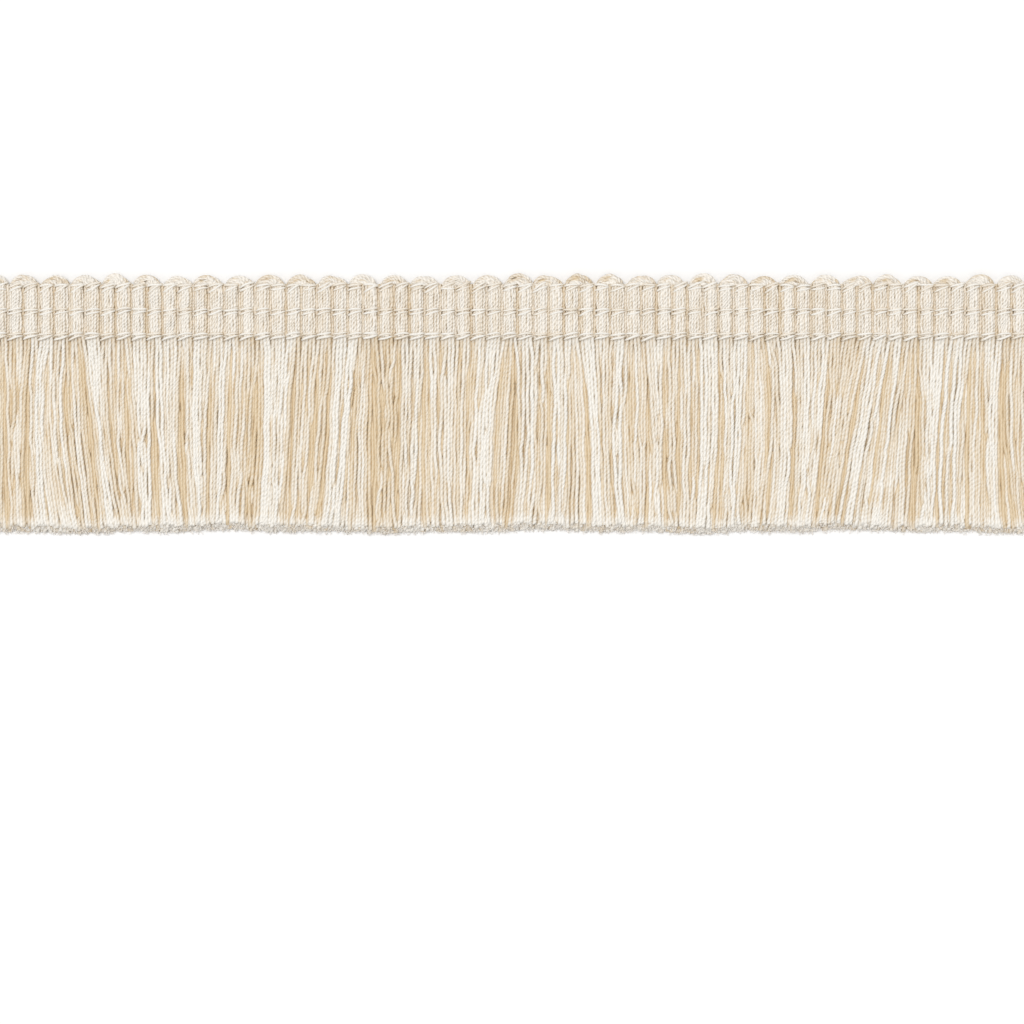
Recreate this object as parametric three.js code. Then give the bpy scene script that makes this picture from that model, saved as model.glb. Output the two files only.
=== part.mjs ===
// Tassel fringe trim: a cut length of cotton brush fringe with a crochet-knit
// heading, lying flat. +X runs along the trim, +Y from the cut ends up to the
// picot edge and +Z up from the table. The origin is under the middle of the
// trim, and all sizes are in millimetres.

import * as THREE from 'three';

// Driving sizes
const RIB_PITCH = 1.465;
const RIB_COUNT = 70;
const RIBS_PER_PICOT = 2;
const TRIM_WIDTH = 25;
const CHAIN_SPACING = 2.31;
const TOP_CHAIN_DROP = 1.23;
const PICOT_RISE = 0.85;
const PICOT_SPAN = 2.75;
const LOCK_GAP = 0.14;

// Lines across the trim that follow from them
const LENGTH = RIB_COUNT * RIB_PITCH;
const END = LENGTH / 2;
const PICOT_PEAK_Y = TRIM_WIDTH / 2;
const PICOT_VALLEY_Y = PICOT_PEAK_Y - PICOT_RISE;
const TOP_CHAIN_Y = PICOT_PEAK_Y - TOP_CHAIN_DROP;
const MIDDLE_CHAIN_Y = TOP_CHAIN_Y - CHAIN_SPACING;
const LOWER_CHAIN_Y = MIDDLE_CHAIN_Y - CHAIN_SPACING;

// The heading across its width. Its rows run from its lower edge to the picots:
// how high a rib's crest stands, how high the furrow beside it, and half the
// crest's width as a share of the pitch. Ribs swell between the chain rows.
const GROOVE_HALF = 0.35;
const HEADING_EDGE_Y = LOWER_CHAIN_Y + 0.15;
const HEADING_ROWS = [
  { y: HEADING_EDGE_Y, crest: 0.8, furrow: 0.5, half: 0.24 },
  { y: LOWER_CHAIN_Y + CHAIN_SPACING / 2, crest: 1.45, furrow: 0.62, half: 0.28 },
  { y: MIDDLE_CHAIN_Y - GROOVE_HALF, crest: 0.84, furrow: 0.5, half: 0.22 },
  { y: MIDDLE_CHAIN_Y + GROOVE_HALF, crest: 0.84, furrow: 0.5, half: 0.22 },
  { y: MIDDLE_CHAIN_Y + CHAIN_SPACING / 2, crest: 1.45, furrow: 0.62, half: 0.28 },
  { y: TOP_CHAIN_Y - GROOVE_HALF, crest: 0.84, furrow: 0.5, half: 0.22 },
  { y: TOP_CHAIN_Y + GROOVE_HALF, crest: 0.84, furrow: 0.5, half: 0.22 },
];
const PICOT_ROW = { crest: 1.05, furrow: 0.9, half: 0.24 };

// One chain stitch: a teardrop loop of thread with its head on the left. A
// station gives how far along the pitch it lies, half the loop's width, and the
// height of its two legs and of the hollow between them.
const CHAIN_BASE_Z = 1.16;
const STITCH_STATIONS = [
  { along: 0.15, half: 0.31, legs: 1.66, hollow: 1.5 },
  { along: 0.85, half: 0.2, legs: 1.48, hollow: 1.42 },
];

// The backing strip that the yarns are fused into, under the lower chain row
const STRIP_TOP_Y = HEADING_EDGE_Y - 0.3;
const ROOT_Y = STRIP_TOP_Y - 0.6;
const STRIP_HEIGHT = 0.84;
const STRIP_SPLIT = 0.3;

// The two tiers of cut yarn. A station gives the share of the way down, the
// height of a lock's underside and its thickness. The lower tier rests on the
// table and the upper one lies a little above it and ends a little sooner.
const TIERS = {
  upper: {
    perRib: 2,
    tipY: -TRIM_WIDTH / 2 + 0.85,
    ragged: 0.55,
    lift: 0.26,
    stations: [
      { down: 0, under: 0.36, thick: 0.4 },
      { down: 0.08, under: 0.6, thick: 0.74 },
      { down: 0.5, under: 0.6, thick: 0.72 },
      { down: 0.8, under: 0.6, thick: 0.62 },
      { down: 1, under: 0.6, thick: 0.42 },
    ],
  },
  lower: {
    perRib: 1,
    tipY: -TRIM_WIDTH / 2,
    ragged: 0.5,
    lift: 0,
    stations: [
      { down: 0, under: 0.06, thick: 0.18 },
      { down: 0.08, under: 0, thick: 0.46 },
      { down: 0.5, under: 0, thick: 0.46 },
      { down: 1, under: 0, thick: 0.4 },
    ],
  },
};
const LOCK_HALF_LIMIT = 0.62;
const LOCK_TOP_SHARE = 0.62;
const WAIST_DOWN = 0.5;
const TIP_CURVE = 1.4;
const LEG_SPREAD = 0.6;

// Tufts that neighbouring yarns have drawn together into. Each row gives the
// left and right edge of a tuft where it leaves the heading, at its waist half
// way down and at its tip, and how far it stands proud, from -1 to 1.
const TUFTS = [
  { root: [-48.2, -46.1], waist: [-48.2, -46.6], tip: [-47.9, -46.6], proud: -0.8 },
  { root: [-46.0, -44.3], waist: [-46.4, -44.9], tip: [-46.3, -43.6], proud: 0.6 },
  { root: [-44.1, -42.7], waist: [-44.4, -42.9], tip: [-43.4, -41.7], proud: 0.3 },
  { root: [-41.4, -38.7], waist: [-40.4, -38.7], tip: [-39.6, -37.2], proud: 0.4 },
  { root: [-37.3, -34.9], waist: [-37.0, -34.9], tip: [-36.7, -35.1], proud: 0.1 },
  { root: [-34.0, -32.2], waist: [-34.1, -32.5], tip: [-33.2, -31.5], proud: 0.4 },
  { root: [-31.6, -29.2], waist: [-31.4, -29.5], tip: [-31.1, -29.7], proud: 0.6 },
  { root: [-28.4, -27.1], waist: [-28.9, -27.5], tip: [-29.0, -27.7], proud: 0.4 },
  { root: [-24.6, -21.4], waist: [-24.7, -22.4], tip: [-25.4, -22.7], proud: 0.9 },
  { root: [-20.7, -18.8], waist: [-20.7, -19.5], tip: [-20.9, -19.9], proud: -0.4 },
  { root: [-17.5, -15.1], waist: [-18.0, -15.9], tip: [-19.0, -16.4], proud: 1 },
  { root: [-13.8, -11.2], waist: [-13.8, -11.9], tip: [-13.8, -12.1], proud: -1 },
  { root: [-10.7, -8.8], waist: [-10.7, -8.9], tip: [-11.5, -9.0], proud: 0.9 },
  { root: [-7.4, -5.9], waist: [-7.2, -6.3], tip: [-7.1, -6.2], proud: 0.2 },
  { root: [-5.7, -4.3], waist: [-5.9, -4.8], tip: [-5.9, -4.8], proud: -0.8 },
  { root: [-3.1, -1.2], waist: [-3.6, -2.3], tip: [-4.0, -2.4], proud: 0.5 },
  { root: [-0.2, 2.8], waist: [-0.4, 2.6], tip: [-1.2, 2.6], proud: 0.5 },
  { root: [3.0, 5.0], waist: [3.4, 5.0], tip: [3.1, 4.8], proud: 0.8 },
  { root: [5.9, 7.8], waist: [6.9, 8.0], tip: [7.1, 8.2], proud: 0.4 },
  { root: [9.0, 10.7], waist: [8.8, 10.5], tip: [9.2, 10.9], proud: 0.4 },
  { root: [12.1, 14.0], waist: [12.6, 14.0], tip: [12.2, 14.3], proud: 0.5 },
  { root: [15.4, 16.4], waist: [15.4, 16.4], tip: [15.4, 16.3], proud: 0 },
  { root: [17.3, 19.0], waist: [17.3, 19.0], tip: [16.8, 18.5], proud: 0.8 },
  { root: [19.2, 22.1], waist: [19.4, 21.8], tip: [18.7, 21.6], proud: 0.6 },
  { root: [23.5, 25.9], waist: [24.3, 25.6], tip: [23.5, 25.5], proud: 0.4 },
  { root: [26.4, 29.7], waist: [26.8, 29.2], tip: [25.9, 28.2], proud: 0.5 },
  { root: [33.3, 35.4], waist: [31.6, 34.1], tip: [30.4, 32.6], proud: 1 },
  { root: [35.6, 37.3], waist: [34.6, 36.4], tip: [33.2, 35.7], proud: 0.5 },
  { root: [38.2, 40.6], waist: [38.3, 39.9], tip: [38.0, 39.6], proud: 0.5 },
  { root: [40.9, 43.2], waist: [40.2, 42.6], tip: [39.9, 42.5], proud: 0.7 },
  { root: [44.4, 46.3], waist: [44.4, 45.7], tip: [44.4, 46.2], proud: 0.3 },
];

// A closed geometry from a flat list of triangle corners: corners at one place
// become one vertex
function closedGeometry(corners) {
  const numbers = new Map();
  const points = [];
  const numberOf = (corner) => {
    const place = corner.toArray().join(' ');
    if (!numbers.has(place)) {
      numbers.set(place, points.length);
      points.push(corner);
    }
    return numbers.get(place);
  };
  const index = corners.map(numberOf);
  const geometry = new THREE.BufferGeometry().setFromPoints(points);
  geometry.setIndex(index);
  geometry.computeVertexNormals();
  return geometry;
}

// The two triangles of a four-cornered face, counterclockwise from outside
function quad(a, b, c, d) {
  return [a, b, c, a, c, d];
}

// A flat fan over a ring that turns counterclockwise seen from outside
function fan(ring) {
  return ring.slice(2).flatMap((corner, place) => [ring[0], ring[place + 1], corner]);
}

// The walls of a body carried through rings that have the same number of
// points, each turning counterclockwise about the way that the rings go
function walls(rings) {
  const corners = [];
  for (let step = 1; step < rings.length; step += 1) {
    const [ring, next] = [rings[step - 1], rings[step]];
    for (let side = 0; side < ring.length; side += 1) {
      const beside = (side + 1) % ring.length;
      corners.push(...quad(ring[side], ring[beside], next[beside], next[side]));
    }
  }
  return corners;
}

// A slab whose top is a grid of points, row by row, over a flat back at z = 0.
// The back takes only the grid's first and last rows.
function slabUnder(grid) {
  const onTable = (point) => new THREE.Vector3(point.x, point.y, 0);
  const [near, far] = [grid[0], grid[grid.length - 1]];
  const [nearFoot, farFoot] = [near.map(onTable), far.map(onTable)];
  const corners = [];
  for (let column = 1; column < near.length; column += 1) {
    const before = column - 1;
    for (let row = 1; row < grid.length; row += 1) {
      const [here, next] = [grid[row - 1], grid[row]];
      corners.push(...quad(here[before], here[column], next[column], next[before]));
    }
    corners.push(...quad(nearFoot[before], farFoot[before], farFoot[column], nearFoot[column]));
    corners.push(...quad(nearFoot[before], nearFoot[column], near[column], near[before]));
    corners.push(...quad(farFoot[before], far[before], far[column], farFoot[column]));
  }
  const end = near.length - 1;
  const leftRing = [nearFoot[0], ...grid.map((row) => row[0]), farFoot[0]];
  const rightRing = [nearFoot[end], farFoot[end], ...grid.map((row) => row[end]).reverse()];
  corners.push(...fan(leftRing), ...fan(rightRing));
  return closedGeometry(corners);
}

// The picot edge at x: an arch over each pair of ribs, with a valley between
function picotEdge(x) {
  const picotPitch = RIBS_PER_PICOT * RIB_PITCH;
  const fromFirstPeak = x + END - picotPitch / 2;
  const fromPeak = fromFirstPeak - picotPitch * Math.round(fromFirstPeak / picotPitch);
  const arch = Math.cos(Math.PI * fromPeak / PICOT_SPAN);
  return PICOT_VALLEY_Y + PICOT_RISE * Math.max(arch, 0);
}

// One row of the heading's top: a furrow and the two shoulders of each rib, and
// the last furrow at the cut end
function headingRow(row, yAt) {
  const points = [];
  for (let rib = 0; rib < RIB_COUNT; rib += 1) {
    const left = rib * RIB_PITCH - END;
    const shoulders = [0.5 - row.half, 0.5 + row.half].map((share) => left + share * RIB_PITCH);
    points.push(new THREE.Vector3(left, yAt(left), row.furrow));
    for (const x of shoulders) {
      points.push(new THREE.Vector3(x, yAt(x), row.crest));
    }
  }
  points.push(new THREE.Vector3(END, yAt(END), row.furrow));
  return points;
}

// The heading: ribs of bundled yarn side by side, nipped in at the chain rows
function headingGeometry() {
  const grid = HEADING_ROWS.map((row) => headingRow(row, () => row.y));
  grid.push(headingRow(PICOT_ROW, picotEdge));
  return slabUnder(grid);
}

// A row of chain stitches: two raised legs that spread at each stitch's head
function chainGeometry(rowY) {
  const rings = [];
  for (let stitch = 0; stitch < RIB_COUNT; stitch += 1) {
    for (const station of STITCH_STATIONS) {
      const x = (stitch + station.along) * RIB_PITCH - END;
      const across = [
        [-station.half, CHAIN_BASE_Z],
        [station.half, CHAIN_BASE_Z],
        [station.half * LEG_SPREAD, station.legs],
        [0, station.hollow],
        [-station.half * LEG_SPREAD, station.legs],
      ];
      rings.push(across.map(([offset, z]) => new THREE.Vector3(x, rowY + offset, z)));
    }
  }
  const [first, last] = [rings[0], rings[rings.length - 1]];
  return closedGeometry([...walls(rings), ...fan([...first].reverse()), ...fan(last)]);
}

// What the tufts say of a yarn whose root is at x, read between their edges.
// The cut ends of the trim stay straight.
function readTufts(x) {
  const edges = [{ root: -END, waist: -END, tip: -END, proud: 0 }];
  for (const tuft of TUFTS) {
    for (const side of [0, 1]) {
      const { proud } = tuft;
      edges.push({ root: tuft.root[side], waist: tuft.waist[side], tip: tuft.tip[side], proud });
    }
  }
  edges.push({ root: END, waist: END, tip: END, proud: 0 });
  const next = Math.max(edges.findIndex((edge) => edge.root >= x), 1);
  const [before, after] = [edges[next - 1], edges[next]];
  const share = (x - before.root) / (after.root - before.root);
  const between = (column) => THREE.MathUtils.lerp(before[column], after[column], share);
  return { root: x, waist: between('waist'), tip: between('tip'), proud: between('proud') };
}

// Where such a yarn lies at a share of the way down: from its root it eases over
// to its place in the waist, and from there it curves out to its tip
function yarnX(yarn, down) {
  const toWaist = THREE.MathUtils.smoothstep(down, 0, WAIST_DOWN);
  const toTip = Math.max(down - WAIST_DOWN, 0) / (1 - WAIST_DOWN);
  return yarn.root + (yarn.waist - yarn.root) * toWaist + (yarn.tip - yarn.waist) * toTip ** TIP_CURVE;
}

// How much sooner than its tier's tips a lock ends, from 0 to 1
function shortfall(lock) {
  return (2 - Math.cos(2 * Math.PI * lock / 7) - Math.cos(2 * Math.PI * lock / 5)) / 4;
}

// One lock of yarn between two roots: four-sided rings, narrower on top, that
// follow the tuft it lies in. Its first ring is the hole it leaves in the strip.
function lockRings(tier, lock) {
  const width = RIB_PITCH / tier.perRib;
  const sides = [lock * width - END, (lock + 1) * width - END].map(readTufts);
  const proud = (sides[0].proud + sides[1].proud) / 2;
  const tipY = tier.tipY + tier.ragged * shortfall(lock);
  return tier.stations.map(({ down, under, thick }) => {
    const [left, right] = sides.map((side) => yarnX(side, down));
    const middle = (left + right) / 2;
    const low = Math.min((right - left - LOCK_GAP) / 2, LOCK_HALF_LIMIT);
    const high = low * LOCK_TOP_SHARE;
    const y = THREE.MathUtils.lerp(ROOT_Y, tipY, down);
    const top = under + thick + tier.lift * proud * Math.sin(Math.PI * down);
    const section = [[-low, under], [low, under], [high, top], [-high, top]];
    return section.map(([offset, z]) => new THREE.Vector3(middle + offset, y, z));
  });
}

// The flat rim between an outline and the hole inside it, corner by corner. A
// hole's corner that serves two corners of the outline is named twice.
function rim(outline, hole) {
  const corners = [];
  for (let side = 0; side < outline.length; side += 1) {
    const beside = (side + 1) % outline.length;
    corners.push(outline[side], outline[beside], hole[beside]);
    if (hole[side] !== hole[beside]) {
      corners.push(outline[side], hole[beside], hole[side]);
    }
  }
  return corners;
}

// The strip under one rib, with its two upper locks and the lower one below them
function stripUnder(rib, locks) {
  const [left, middle, right] = [rib, rib + 0.5, rib + 1].map((ribs) => ribs * RIB_PITCH - END);
  const [first, second, lower] = locks.map((rings) => rings[0]);
  const front = (x, z) => new THREE.Vector3(x, ROOT_Y, z);
  const back = (x, z) => new THREE.Vector3(x, STRIP_TOP_Y, z);
  const frontRow = (z, ...places) => places.map((x) => front(x, z));
  const upperCell = (from, to) => [
    ...frontRow(STRIP_SPLIT, from, to),
    ...frontRow(STRIP_HEIGHT, to, from),
  ];
  const lowerCell = [...frontRow(0, left, right), ...frontRow(STRIP_SPLIT, right, middle, left)];
  const top = [
    back(left, STRIP_HEIGHT),
    ...frontRow(STRIP_HEIGHT, left, middle, right),
    back(right, STRIP_HEIGHT),
  ];
  return [
    ...rim(upperCell(left, middle), first),
    ...rim(upperCell(middle, right), second),
    ...rim(lowerCell, [lower[0], lower[1], lower[2], lower[2], lower[3]]),
    ...fan(top),
    ...quad(back(left, 0), back(left, STRIP_HEIGHT), back(right, STRIP_HEIGHT), back(right, 0)),
    ...quad(front(left, 0), back(left, 0), back(right, 0), front(right, 0)),
  ];
}

// The strip's section at x, counterclockwise about +X from its top edge's foot
function stripSection(x) {
  const back = [0, STRIP_HEIGHT].map((z) => new THREE.Vector3(x, STRIP_TOP_Y, z));
  const front = [STRIP_HEIGHT, STRIP_SPLIT, 0].map((z) => new THREE.Vector3(x, ROOT_Y, z));
  return [...back, ...front];
}

// The cut yarn: both tiers of locks, fused at the roots into their narrow strip
function skirtGeometry() {
  const corners = [];
  for (let rib = 0; rib < RIB_COUNT; rib += 1) {
    const locks = [
      lockRings(TIERS.upper, 2 * rib),
      lockRings(TIERS.upper, 2 * rib + 1),
      lockRings(TIERS.lower, rib),
    ];
    for (const rings of locks) {
      corners.push(...walls(rings), ...fan(rings[rings.length - 1]));
    }
    corners.push(...stripUnder(rib, locks));
  }
  const [foot, ...rest] = stripSection(-END);
  corners.push(...fan([foot, ...rest.reverse()]), ...fan(stripSection(END)));
  return closedGeometry(corners);
}

// Undyed cotton yarn, soft and without gloss
function cottonMaterial(color) {
  return new THREE.MeshStandardMaterial({ color, roughness: 0.85, metalness: 0 });
}

function piece(name, geometry, color) {
  const mesh = new THREE.Mesh(geometry, cottonMaterial(color));
  mesh.name = name;
  return mesh;
}

const trim = new THREE.Group();
trim.add(piece('heading_band', headingGeometry(), 0xe6dbc8));
trim.add(piece('chain_top', chainGeometry(TOP_CHAIN_Y), 0xf2e9da));
trim.add(piece('chain_middle', chainGeometry(MIDDLE_CHAIN_Y), 0xf2e9da));
trim.add(piece('chain_lower', chainGeometry(LOWER_CHAIN_Y), 0xf2e9da));
trim.add(piece('fringe_skirt', skirtGeometry(), 0xe5d9c7));

export default trim;
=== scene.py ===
"""The looks of a tassel fringe trim: a cut length of cream cotton brush fringe with a
crochet-knit heading, lying flat and seen from straight above. Yarns are tubes carried
along paths that are worked out as whole arrays, in millimetres, and become meshes in
metres. +X runs along the trim, +Y from the cut ends up to the picots, +Z up."""

import bpy
import numpy as np
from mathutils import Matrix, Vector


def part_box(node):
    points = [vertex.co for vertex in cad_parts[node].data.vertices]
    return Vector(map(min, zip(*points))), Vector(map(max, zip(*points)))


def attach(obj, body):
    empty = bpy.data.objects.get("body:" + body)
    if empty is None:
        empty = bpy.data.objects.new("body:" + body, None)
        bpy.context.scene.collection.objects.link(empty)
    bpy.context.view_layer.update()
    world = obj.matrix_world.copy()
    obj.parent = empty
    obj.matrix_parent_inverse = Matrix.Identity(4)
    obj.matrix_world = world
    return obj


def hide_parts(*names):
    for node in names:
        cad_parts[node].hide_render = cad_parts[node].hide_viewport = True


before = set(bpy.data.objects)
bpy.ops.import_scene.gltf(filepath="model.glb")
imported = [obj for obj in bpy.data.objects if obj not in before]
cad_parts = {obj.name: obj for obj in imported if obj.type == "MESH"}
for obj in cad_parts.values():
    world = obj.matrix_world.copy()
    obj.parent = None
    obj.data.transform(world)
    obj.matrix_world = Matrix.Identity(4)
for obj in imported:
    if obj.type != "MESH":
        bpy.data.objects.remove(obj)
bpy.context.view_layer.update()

MM = 0.001
rng = np.random.default_rng(31)

# Sizes shared with the part's source, in millimetres. The chain rows lie a little lower
# than the solids' do, where the photograph has them
HEADING_LOW, HEADING_HIGH = (np.array(corner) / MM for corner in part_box("heading_band"))
SKIRT_LOWEST_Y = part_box("fringe_skirt")[0][1] / MM
CHAIN_NODES = ("chain_top", "chain_middle", "chain_lower")
ROW_DROP = 0.2
CHAIN_ROWS = [(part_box(node)[0][1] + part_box(node)[1][1]) / 2 / MM - ROW_DROP for node in CHAIN_NODES]
RIB_COUNT = 70
LENGTH = HEADING_HIGH[0] - HEADING_LOW[0]
END = LENGTH / 2
PITCH = LENGTH / RIB_COUNT
CHAIN_SPACING = CHAIN_ROWS[0] - CHAIN_ROWS[1]
PICOT_PEAK_Y = HEADING_HIGH[1]

# The photograph's frame: its scale, and the trim's place in it
PIXELS_ACROSS = 1024
PIXELS_PER_MM = 10.53
VIEW_CENTRE = (-0.52, -10.29)
LENS = 100.0
SENSOR = 36.0
EYE_LEVEL = 0.8

# Radii of the yarns in millimetres, and how much they differ from yarn to yarn
SKIRT_YARN, SKIRT_YARN_SPREAD = 0.2, (0.92, 1.08)
RIB_YARN, RIB_YARN_SPREAD = 0.175, (0.92, 1.1)
CORE_YARN = 0.2
BACKING_YARN = 0.205
PICOT_YARN_SPREAD = (0.9, 1.15)
CHAIN_THREAD, CHAIN_THREAD_SPREAD = 0.12, (0.85, 1.08)
CUT_FIBRE = 0.04

# How far along a yarn its plies take for one full turn, in millimetres
SKIRT_LAY = 1.08
HEADING_LAY = 0.84
CHAIN_LAY = 0.42
LOOSE_LAY = 0.66

# Tufts that neighbouring yarns have drawn together into, as they were read off the
# photograph. Each row gives the left and right edge of a tuft where it leaves the
# heading, at its waist half way down and at its tip, and how proud it lies, from -1 to 1
TUFTS = np.array([
    (-48.2, -46.1, -48.2, -46.6, -47.9, -46.6, -0.8),
    (-46.0, -44.3, -46.4, -44.9, -46.3, -43.6, 0.6),
    (-44.1, -42.7, -44.4, -42.9, -43.4, -41.7, 0.3),
    (-41.4, -38.7, -40.4, -38.7, -39.6, -37.2, 0.4),
    (-37.3, -34.9, -37.0, -34.9, -36.7, -35.1, 0.1),
    (-34.0, -32.2, -34.1, -32.5, -33.2, -31.5, 0.4),
    (-31.6, -29.2, -31.4, -29.5, -31.1, -29.7, 0.6),
    (-28.4, -27.1, -28.9, -27.5, -29.0, -27.7, 0.4),
    (-24.6, -21.4, -24.7, -22.4, -25.4, -22.7, 0.9),
    (-20.7, -18.8, -20.7, -19.5, -20.9, -19.9, -0.4),
    (-17.5, -15.1, -18.0, -15.9, -19.0, -16.4, 1.0),
    (-13.8, -11.2, -13.8, -11.9, -13.8, -12.1, -1.0),
    (-10.7, -8.8, -10.7, -8.9, -11.5, -9.0, 0.9),
    (-7.4, -5.9, -7.2, -6.3, -7.1, -6.2, 0.2),
    (-5.7, -4.3, -5.9, -4.8, -5.9, -4.8, -0.8),
    (-3.1, -1.2, -3.6, -2.3, -4.0, -2.4, 0.5),
    (-0.2, 2.8, -0.4, 2.6, -1.2, 2.6, 0.5),
    (3.0, 5.0, 3.4, 5.0, 3.1, 4.8, 0.8),
    (5.9, 7.8, 6.9, 8.0, 7.1, 8.2, 0.4),
    (9.0, 10.7, 8.8, 10.5, 9.2, 10.9, 0.4),
    (12.1, 14.0, 12.6, 14.0, 12.2, 14.3, 0.5),
    (15.4, 16.4, 15.4, 16.4, 15.4, 16.3, 0.0),
    (17.3, 19.0, 17.3, 19.0, 16.8, 18.5, 0.8),
    (19.2, 22.1, 19.4, 21.8, 18.7, 21.6, 0.6),
    (23.5, 25.9, 24.3, 25.6, 23.5, 25.5, 0.4),
    (26.4, 29.7, 26.8, 29.2, 25.9, 28.2, 0.5),
    (33.3, 35.4, 31.6, 34.1, 30.4, 32.6, 1.0),
    (35.6, 37.3, 34.6, 36.4, 33.2, 35.7, 0.5),
    (38.2, 40.6, 38.3, 39.9, 38.0, 39.6, 0.5),
    (40.9, 43.2, 40.2, 42.6, 39.9, 42.5, 0.7),
    (44.4, 46.3, 44.4, 45.7, 44.4, 46.2, 0.3),
])
LEFT_EDGES, RIGHT_EDGES, TUFT_PROUD = slice(0, 6, 2), slice(1, 6, 2), 6

# Where the three places of a tuft's edge lie, as shares of the way down the skirt, and the
# columns of a parting's root and of how proud it is
STATIONS = np.array([0.0, 0.5, 0.98])
ROOT, PROUD = 0, 3

# Tufts whose roots are nearer than this, in millimetres, share one parting
CLOSE = 0.9

# How proud the loose yarns between two tufts lie
LOOSE_PROUD = -0.3


def partings():
    """The partings along the skirt, each with its place at every station and how proud the
    yarns to the right of it lie. Tufts that are close at their roots have one parting half
    way between them. Others have one on each side, with loose yarns between. The first
    tuft's parting lies half of the close distance outside its edge."""
    rows = [(-END, -END, -END, 0.0)]
    for number, tuft in enumerate(TUFTS):
        left, right = tuft[LEFT_EDGES], tuft[RIGHT_EDGES]
        before = TUFTS[number - 1, RIGHT_EDGES] if number else left - CLOSE
        if number == 0 or left[ROOT] - before[ROOT] < CLOSE:
            left = (left + before) / 2
        rows.append((*left, tuft[TUFT_PROUD]))
        after = TUFTS[number + 1, ROOT] if number + 1 < len(TUFTS) else END
        if after - right[ROOT] >= CLOSE:
            rows.append((*right, LOOSE_PROUD))
    rows.append((END, END, END, 0.0))
    return np.array(rows)


PARTINGS = partings()


# Meshes

# How much a yarn's twist is drawn out or pushed together
TWIST_STRETCH = (0.88, 1.14)

# In the bake map: the free edge about each tube's strip, as a share of the strip, and how
# far the faces over the tube's ends spread inside it, across and along
STRIP_MARGIN = 0.03
CAP_ACROSS = 0.35
CAP_ALONG = 0.4


def unit(vectors):
    """Each vector over its own length."""
    return vectors / np.linalg.norm(vectors, axis=-1, keepdims=True).clip(1e-9)


def ring_points(paths, radii, sides):
    """Rings of points about centre lines: at each step the tangent is the difference of
    the steps beside it, the side vector is tangent cross up, the third is side cross
    tangent, and a point is centre + radius (cos a side + sin a third)."""
    tangents = unit(np.gradient(paths, axis=1))
    side = unit(np.cross(tangents, (0.0, 0.0, 1.0)))
    third = np.cross(side, tangents)
    angles = np.arange(sides) * 2 * np.pi / sides
    turn = np.cos(angles)[:, None] * side[:, :, None] + np.sin(angles)[:, None] * third[:, :, None]
    return paths[:, :, None] + radii[:, :, None, None] * turn


def arc_lengths(paths):
    """Distance along each path, as the running sum of its steps."""
    steps = np.linalg.norm(np.diff(paths, axis=1), axis=-1)
    return np.concatenate([np.zeros((len(paths), 1)), np.cumsum(steps, axis=1)], axis=1)


def bake_strips(along, radii):
    """How the tubes' strips lie in the bake map: how many side by side and how many rows,
    and each strip's left edge and foot. The rows' number is the square root of count times
    girth over length, so a strip is about as slender as its tube."""
    count = len(along)
    rows = max(1, round(np.sqrt(count * 2 * np.pi * radii.mean() / along[:, -1].mean())))
    columns = -(-count // rows)
    left = (np.arange(count) % columns) / columns
    foot = (np.arange(count) // columns) / rows
    return columns, rows, left, foot


def wall_faces(along, sides, start, stretch, strips):
    """The four-cornered faces round the tubes: the points at their corners, and the
    corners' places in the Yarn map and in the bake map."""
    count, steps = along.shape
    columns, rows, left, foot = strips
    tube, step, side = np.meshgrid(np.arange(count), np.arange(steps - 1), np.arange(sides), indexing="ij")
    beside = (side + 1) % sides
    near, far = (tube * steps + step) * sides, (tube * steps + step + 1) * sides
    corners = np.stack([near + side, far + side, far + beside, near + beside], -1)

    turn = np.stack([side, side, side + 1, side + 1], -1) / sides
    near, far = along[tube, step], along[tube, step + 1]
    reach = np.stack([near, far, far, near], -1)
    yarn_map = np.stack([turn, reach * stretch[tube][..., None] + start[tube][..., None]], -1)

    inner = 1 - 2 * STRIP_MARGIN
    whole = along[:, -1][tube][..., None]
    strip_u = left[tube][..., None] + (STRIP_MARGIN + inner * turn) / columns
    strip_v = foot[tube][..., None] + (STRIP_MARGIN + inner * reach / whole) / rows
    return corners.reshape(-1, 4), yarn_map.reshape(-1, 2), np.stack([strip_u, strip_v], -1).reshape(-1, 2)


def end_faces(along, sides, start, stretch, strips, at_end):
    """The flat faces over one end of each tube, with the same three results as the walls.
    In the bake map they lie in the free edge of the tube's strip."""
    count, steps = along.shape
    columns, rows, left, foot = strips
    order = np.arange(sides)[::-1] if at_end else np.arange(sides)
    corners = (np.arange(count)[:, None] * steps + (steps - 1) * at_end) * sides + order

    distance = along[:, -1] * stretch * at_end + start
    yarn_map = np.stack([np.tile(order / sides, count), np.repeat(distance, sides)], -1)

    angle = order * 2 * np.pi / sides
    middle = 1 - STRIP_MARGIN / 2 if at_end else STRIP_MARGIN / 2
    cap_u = left[:, None] + (0.5 + CAP_ACROSS * np.cos(angle)) / columns
    cap_v = foot[:, None] + (middle + STRIP_MARGIN * CAP_ALONG * np.sin(angle)) / rows
    return corners, yarn_map, np.stack([cap_u, cap_v], -1).reshape(-1, 2)


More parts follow.
